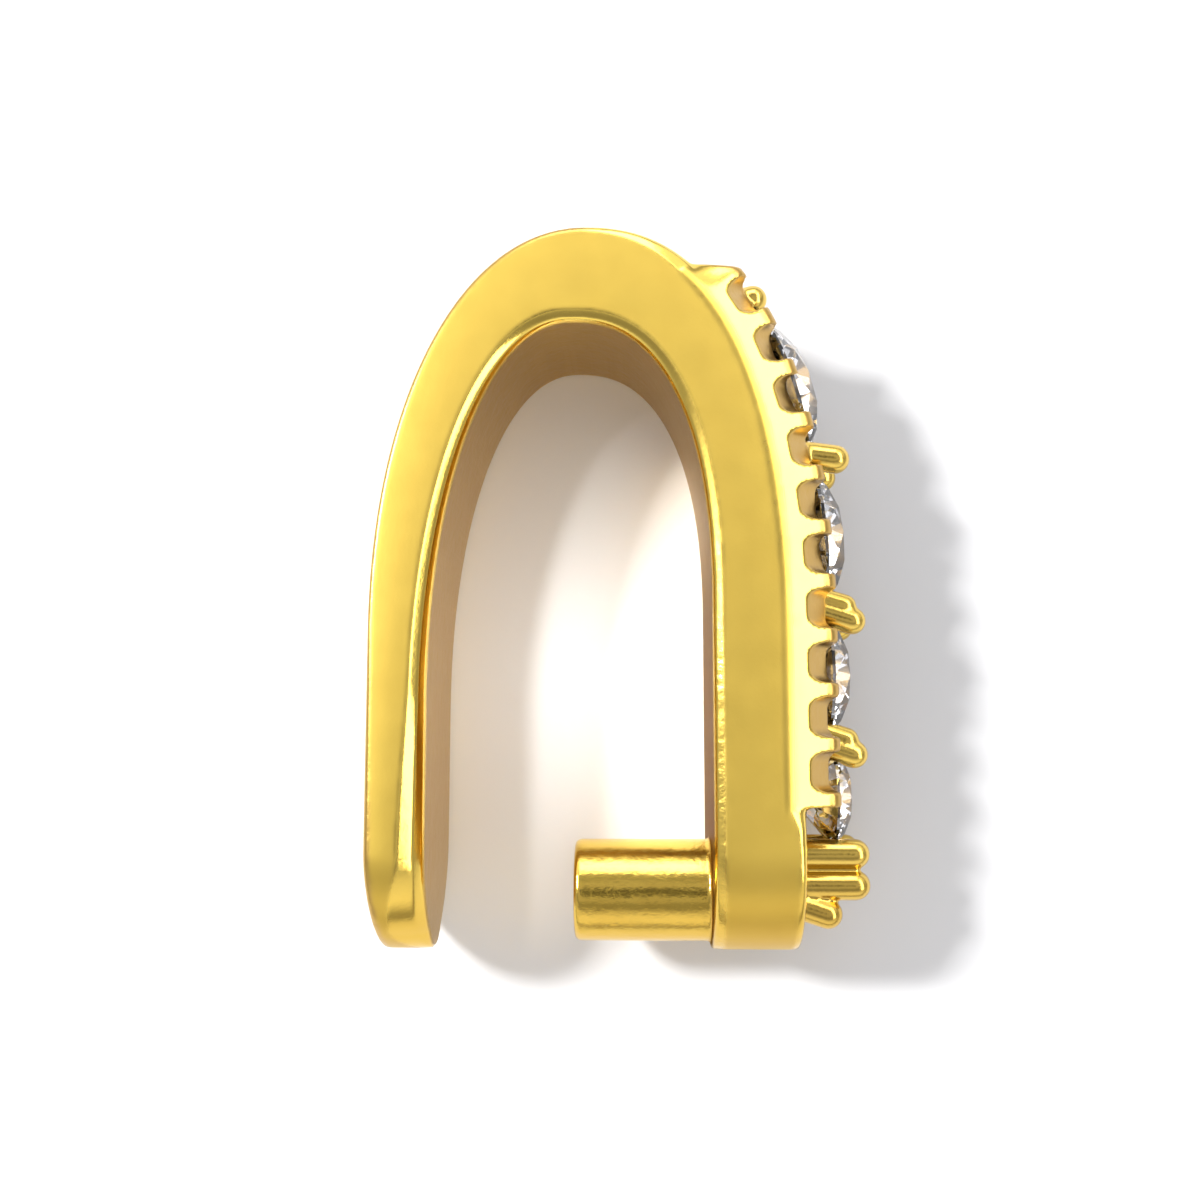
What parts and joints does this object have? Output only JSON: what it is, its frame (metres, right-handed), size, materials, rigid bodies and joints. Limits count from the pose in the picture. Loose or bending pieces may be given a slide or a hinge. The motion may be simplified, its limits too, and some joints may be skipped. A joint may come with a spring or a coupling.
{
  "type": "pinch bail with a peg and a row of set stones",
  "caption": "Cast U-shaped pinch bail with a plain back arm, a front arm set with graduated round stones between toothed rims, and a peg inside its lower end.",
  "frame": {"origin": "below the middle of the piece, on the surface that it lies on", "axes": "+X from the plain back arm to the jewelled front arm, +Y from the arms' tips to the top of the bow, +Z across the band, up from the surface"},
  "size_m": [0.0056, 0.0082, 0.0023],
  "materials": {
    "gold_plate": "gold plated, satin side faces and polished edges",
    "clear_stone": "polished facets"
  },
  "bodies": {
    "root": {"bail_frame": "gold_plate", "stone_1": "clear_stone", "stone_2": "clear_stone", "stone_3": "clear_stone", "stone_4": "clear_stone"}
  },
  "joints": []
}
